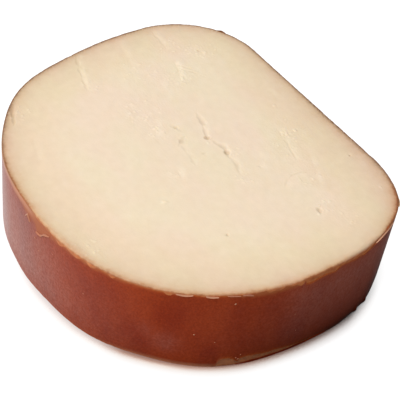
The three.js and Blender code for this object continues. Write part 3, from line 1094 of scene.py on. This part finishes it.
for name, code in MARK_COLOURS.items():
    share = add_node(tree, "Attribute", output="Fac", attribute_name=name)
    colour = add_node(tree, "Mix", [share, colour, linear(code)], data_type="RGBA")
grain = add_node(tree, "TexNoise", {"Vector": place, "Scale": per_mm(0.9), "Detail": 4.0})
drag_place = add_node(tree, "Mapping", {"Vector": place, "Rotation": KNIFE_TURN, "Scale": (0.12, 1.0, 1.0)})
drag = add_node(tree, "TexNoise", {"Vector": drag_place, "Scale": per_mm(1.5), "Detail": 3.0})
relief = add_node(tree, "Math", [drag, DRAG_SHARE, grain], operation="MULTIPLY_ADD")
rough_share = add_node(tree, "Attribute", output="Fac", attribute_name="rough")
strength = add_node(tree, "MapRange", {"Value": rough_share, **GRAIN_STRENGTH})
bump = add_node(tree, "Bump", {"Height": relief, "Strength": strength, "Distance": GRAIN_HIGH * MM})
fat = add_node(
    tree, "MapRange", {"Value": patches, "From Min": 0.3, "From Max": 0.7, "To Min": 0.48, "To Max": 0.6}
)
paste_finish = {
    "Base Color": colour,
    "Roughness": fat,
    "Normal": bump,
    "IOR": 1.45,
    "Specular IOR Level": 0.35,
    "Subsurface Weight": 0.35,
    "Subsurface Radius": (1.0, 0.75, 0.5),
    "Subsurface Scale": 2.5 * MM,
}
feed(tree, shader, paste_finish)
print("material:", body.data.materials[0].name)

# %% [markdown]
# ## The coat's finish
#
# The coat is a brown food coating, brushed on, that dried to a smooth and slightly hazy gloss over
# the smoked rind. The eye sees a red-brown that is more orange where the coat is thin, in cloudy
# patches drawn out up and down the side. A mauve veil and a finer, pale bloom dull it on the left
# and at the upper right, where they are partly a painted sheen. It has a fine pebbling, faint
# scratches, a foot darkened with painted shade, and a dull brown line where the knife cut it.
# Stretched film is pale, and painted highlight makes the coat paler near its upper edge and along
# part of its foot.

# %% Colour of the coat
tree, shader = start_material("brown_rind_coating", coat)
place = add_node(tree, "TexCoord", output="Object")
drawn_up = add_node(tree, "Mapping", {"Vector": place, "Scale": (1.0, 1.0, 0.4)})
clouds = add_node(tree, "TexNoise", {"Vector": drawn_up, "Scale": per_mm(12), "Detail": 4.0})
colour = add_node(tree, "ValToRGB", {"Fac": clouds}, [(0.32, "#7D2406"), (0.68, "#8F320A")])
bloom_and_sheen = add_node(tree, "Attribute", output="Fac", attribute_name="bloom_and_sheen")
# the veil and the bloom, both partly painted sheen: where they lie, mm of their patches, how dense they are,
# and colour
hazes = [
    (drawn_up, 6, {"From Min": 0.45, "From Max": 0.75, "To Min": 0.0, "To Max": 0.3}, "#864838"),
    (place, 1.6, {"From Min": 0.34, "From Max": 0.66, "To Min": 0.09, "To Max": 0.15}, "#CDB4AC"),
]
for spread, size, density, code in hazes:
    haze = add_node(tree, "TexNoise", {"Vector": spread, "Scale": per_mm(size), "Detail": 5.0})
    haze_share = add_node(tree, "MapRange", {"Value": haze, **density})
    haze_there = add_node(tree, "Math", [haze_share, bloom_and_sheen], operation="MULTIPLY")
    colour = add_node(tree, "Mix", [haze_there, colour, linear(code)], data_type="RGBA")
print("coat has", len(hazes), "kinds of haze")

# %% Thin places, speckle and edges of the coat
# shares of the way in from its edges: how far the rind glows through there, and in which colour
THIN = [(0.0, "#F0F0F0"), (0.14, "#B4B4B4"), (0.3, "#989898"), (1.0, "#000000")]
RIND_GLOW = [(0.02, "#B05A2A"), (0.1, "#9E4216"), (0.25, "#943810")]
# colours that the coat turns to where the values on its vertices say so: painted shade at its foot, rubbed
# wear, the knife's cut, and pale film that is partly painted highlight
TURNED = {"painted_foot_shade": "#200804", "worn": "#9A5430", "cut": "#7C5030", "pale": "#DCB08E"}

edge_near = add_node(tree, "Attribute", output="Fac", attribute_name="edge_near")
thin = add_node(tree, "ValToRGB", {"Fac": edge_near}, THIN)
rind_glow = add_node(tree, "ValToRGB", {"Fac": edge_near}, RIND_GLOW)
warmed = add_node(tree, "Mix", [thin, colour, rind_glow], data_type="RGBA")
speckle = add_node(tree, "TexNoise", {"Vector": place, "Scale": per_mm(0.8), "Detail": 2.0})
speckle_shade = add_node(tree, "ValToRGB", {"Fac": speckle}, [(0.3, "#E4DCD8"), (0.7, "#FFFFFF")])
colour = add_node(tree, "Mix", [1.0, warmed, speckle_shade], data_type="RGBA", blend_type="MULTIPLY")
for name, code in TURNED.items():
    share = add_node(tree, "Attribute", output="Fac", attribute_name=name)
    colour = add_node(tree, "Mix", [share, colour, linear(code)], data_type="RGBA")
print("coat turns to", len(TURNED), "more colours at its edges")

# %% Pebbling, scratches and gloss of the coat
SCRATCH_TURN = (0.5, 0.3, 0.2)  # radians
SCRATCH_SHARE = 0.5  # height of the scratches, compared with the pebbles
PEBBLE_HIGH = 0.1  # mm

pebbles = add_node(tree, "TexNoise", {"Vector": place, "Scale": per_mm(1.2), "Detail": 4.0})
scratch_place = add_node(
    tree, "Mapping", {"Vector": place, "Rotation": SCRATCH_TURN, "Scale": (1.0, 1.0, 0.06)}
)
scratches = add_node(tree, "TexNoise", {"Vector": scratch_place, "Scale": per_mm(0.9), "Detail": 2.0})
relief = add_node(tree, "Math", [scratches, SCRATCH_SHARE, pebbles], operation="MULTIPLY_ADD")
bump = add_node(tree, "Bump", {"Height": relief, "Strength": 0.8, "Distance": PEBBLE_HIGH * MM})
dull = add_node(
    tree, "MapRange", {"Value": clouds, "From Min": 0.3, "From Max": 0.7, "To Min": 0.3, "To Max": 0.42}
)
coat_finish = {
    "Base Color": colour,
    "Roughness": dull,
    "Normal": bump,
    "IOR": 1.47,
    "Specular IOR Level": 0.07,
    "Sheen Weight": 0.28,
    "Sheen Roughness": 0.2,
}
feed(tree, shader, coat_finish)
for piece in (crumb_bits, film_shreds):
    piece.data.materials.clear()
    piece.data.materials.append(coat.data.materials[0])
print("material:", coat.data.materials[0].name)

# %% [markdown]
# ## Floor, light and camera
#
# The slab stands on a plain white floor, under one large soft light from the left of the picture.
# It lights the cut face and the left of the side alike, so the side darkens to the right, and it
# brings out the lips of the cracks. The floor that is seen glows white, and only a narrow soft
# shade lies where the slab stands on it, from Ambient Occlusion. It is warm on the lit side, darker
# and nearly grey away from the light, and fades out at both ends. For the light that the floor
# passes on, a wider shadow is painted into its colour on the right. The camera stands where the
# photograph was taken from, tilted a little about its own axis.

# %% Floor
FLOOR_SIZE = 8.0  # metres
SHADOW_MIDDLE = (0.038, 0.047, 0.0)  # metres
SHADOW_RADIUS = 0.14  # metres

bpy.ops.object.select_all(action="DESELECT")
bpy.ops.mesh.primitive_plane_add(size=FLOOR_SIZE)
floor = bpy.context.object
floor.name = "floor"
tree, shader = start_material("white_floor", floor)
place = add_node(tree, "TexCoord", output="Object")
shadow_place = add_node(
    tree,
    "Mapping",
    {"Vector": place, "Location": SHADOW_MIDDLE, "Scale": (SHADOW_RADIUS,) * 3},
    vector_type="TEXTURE",
)
nearness = add_node(tree, "TexGradient", {"Vector": shadow_place}, output="Fac", gradient_type="SPHERICAL")
shadow = add_node(tree, "ValToRGB", {"Fac": nearness}, [(0.05, "#F0F0F0"), (0.4, "#404040")])
seen = add_node(tree, "LightPath", output="Is Camera Ray")
floor_colour = add_node(tree, "Mix", [seen, shadow, linear("#606060")], data_type="RGBA")
print("floor:", FLOOR_SIZE, "m wide")

# %% Shade where the slab meets the floor
CONTACT_REACH = 0.011  # metres
SHADE_LIT = [
    (0.5, "#7A4630"), (0.576, "#A87A62"), (0.592, "#CFAC95"), (0.606, "#DBC3B3"), (0.646, "#E4D9D2"),
    (0.7, "#E9E5E2"), (0.76, "#F0EEED"), (0.86, "#F8F7F7"), (1.0, "#FFFFFF"),
]  # how open the floor is to the sky, and the colour of its shade there
SHADE_AWAY = [
    (0.5, "#140C08"), (0.575, "#5E4E46"), (0.592, "#7D6E69"), (0.612, "#A09695"), (0.64, "#C2BBB9"),
    (0.66, "#D8D4D2"), (0.72, "#E9E7E6"), (0.82, "#F6F5F5"), (1.0, "#FFFFFF"),
]  # the same on the side away from the light
AWAY = (0.63, 0.78, 0.0)  # the way from the lit side to the other
HALF_WAY = 0.1  # metres from the slab's middle to either end of it
TURNS_AWAY = {"From Min": 0.58, "From Max": 0.86}  # shares of that way
FADED = [
    (0.2, "#F4F4F4"), (0.26, "#CACACA"), (0.36, "#B4B4B4"), (0.4, "#A0A0A0"), (0.45, "#000000"),
    (0.87, "#000000"), (0.9, "#ACACAC"), (0.93, "#F0F0F0"),
]  # shares of that way, and how far the shade has faded there

openness = add_node(tree, "AmbientOcclusion", {"Distance": CONTACT_REACH}, output="AO", samples=16)
shade_lit = add_node(tree, "ValToRGB", {"Fac": openness}, SHADE_LIT)
shade_away = add_node(tree, "ValToRGB", {"Fac": openness}, SHADE_AWAY)
sideways = add_node(tree, "VectorMath", [place, AWAY], operation="DOT_PRODUCT")
way = add_node(tree, "MapRange", {"Value": sideways, "From Min": -HALF_WAY, "From Max": HALF_WAY})
away_share = add_node(tree, "MapRange", {"Value": way, **TURNS_AWAY})
shade = add_node(tree, "Mix", [away_share, shade_lit, shade_away], data_type="RGBA")
faded = add_node(tree, "ValToRGB", {"Fac": way}, FADED)
softened = add_node(tree, "Mix", [faded, shade, linear("#FFFFFF")], data_type="RGBA")
floor_finish = {
    "Base Color": floor_colour,
    "Emission Color": softened,
    "Emission Strength": seen,
    "Roughness": 0.9,
    "Specular IOR Level": 0.0,
}
feed(tree, shader, floor_finish)
print("shade reaches", round(CONTACT_REACH / MM), "mm over the floor")

# %% Light
AMBIENT = 0.4
LIGHT_PLACE = (-0.02, -0.75, 1.3)  # metres
LIGHT_SIZE = 0.8  # metres
LIGHT_WATTS = 24.6

scene = bpy.context.scene
scene.view_settings.view_transform = "Standard"
world = bpy.data.worlds.new("studio")
scene.world = world
world.use_nodes = True
seen = add_node(world.node_tree, "LightPath", output="Is Camera Ray")
glow = add_node(world.node_tree, "Math", [seen, AMBIENT], operation="MAXIMUM")
feed(world.node_tree, world.node_tree.nodes["Background"], {"Color": (1, 1, 1, 1), "Strength": glow})

bpy.ops.object.light_add(type="AREA", location=LIGHT_PLACE)
lamp = bpy.context.object
lamp.name = "left_light"
lamp.data.energy = LIGHT_WATTS
lamp.data.size = LIGHT_SIZE
lamp.rotation_euler = (-Vector(LIGHT_PLACE)).to_track_quat("-Z", "Y").to_euler()
print("light:", lamp.name, LIGHT_WATTS, "W")

# %% Camera
CAMERA_PLACE = (0.2701, -0.20524, 0.31829)  # metres
CAMERA_TARGET = (0.01108, 0.00402, 0.019)  # metres
CAMERA_ROLL = 7.875  # degrees
VIEW_ANGLE = 20.25  # degrees across the square picture

bpy.ops.object.camera_add(location=CAMERA_PLACE)
camera = bpy.context.object
aim = (Vector(CAMERA_TARGET) - Vector(CAMERA_PLACE)).to_track_quat("-Z", "Y")
camera.rotation_mode = "QUATERNION"
camera.rotation_quaternion = aim @ Quaternion((0, 0, 1), math.radians(CAMERA_ROLL))
camera.data.lens = camera.data.sensor_width / 2 / math.tan(math.radians(VIEW_ANGLE / 2))
scene.camera = camera
print("camera lens:", round(camera.data.lens, 1), "mm")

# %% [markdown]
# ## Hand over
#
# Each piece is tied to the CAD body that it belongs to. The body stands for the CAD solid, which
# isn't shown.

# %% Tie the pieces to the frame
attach(body, "root")
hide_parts("cheese")
for piece in (coat, film_shreds, crumb_bits):
    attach(piece, "root")
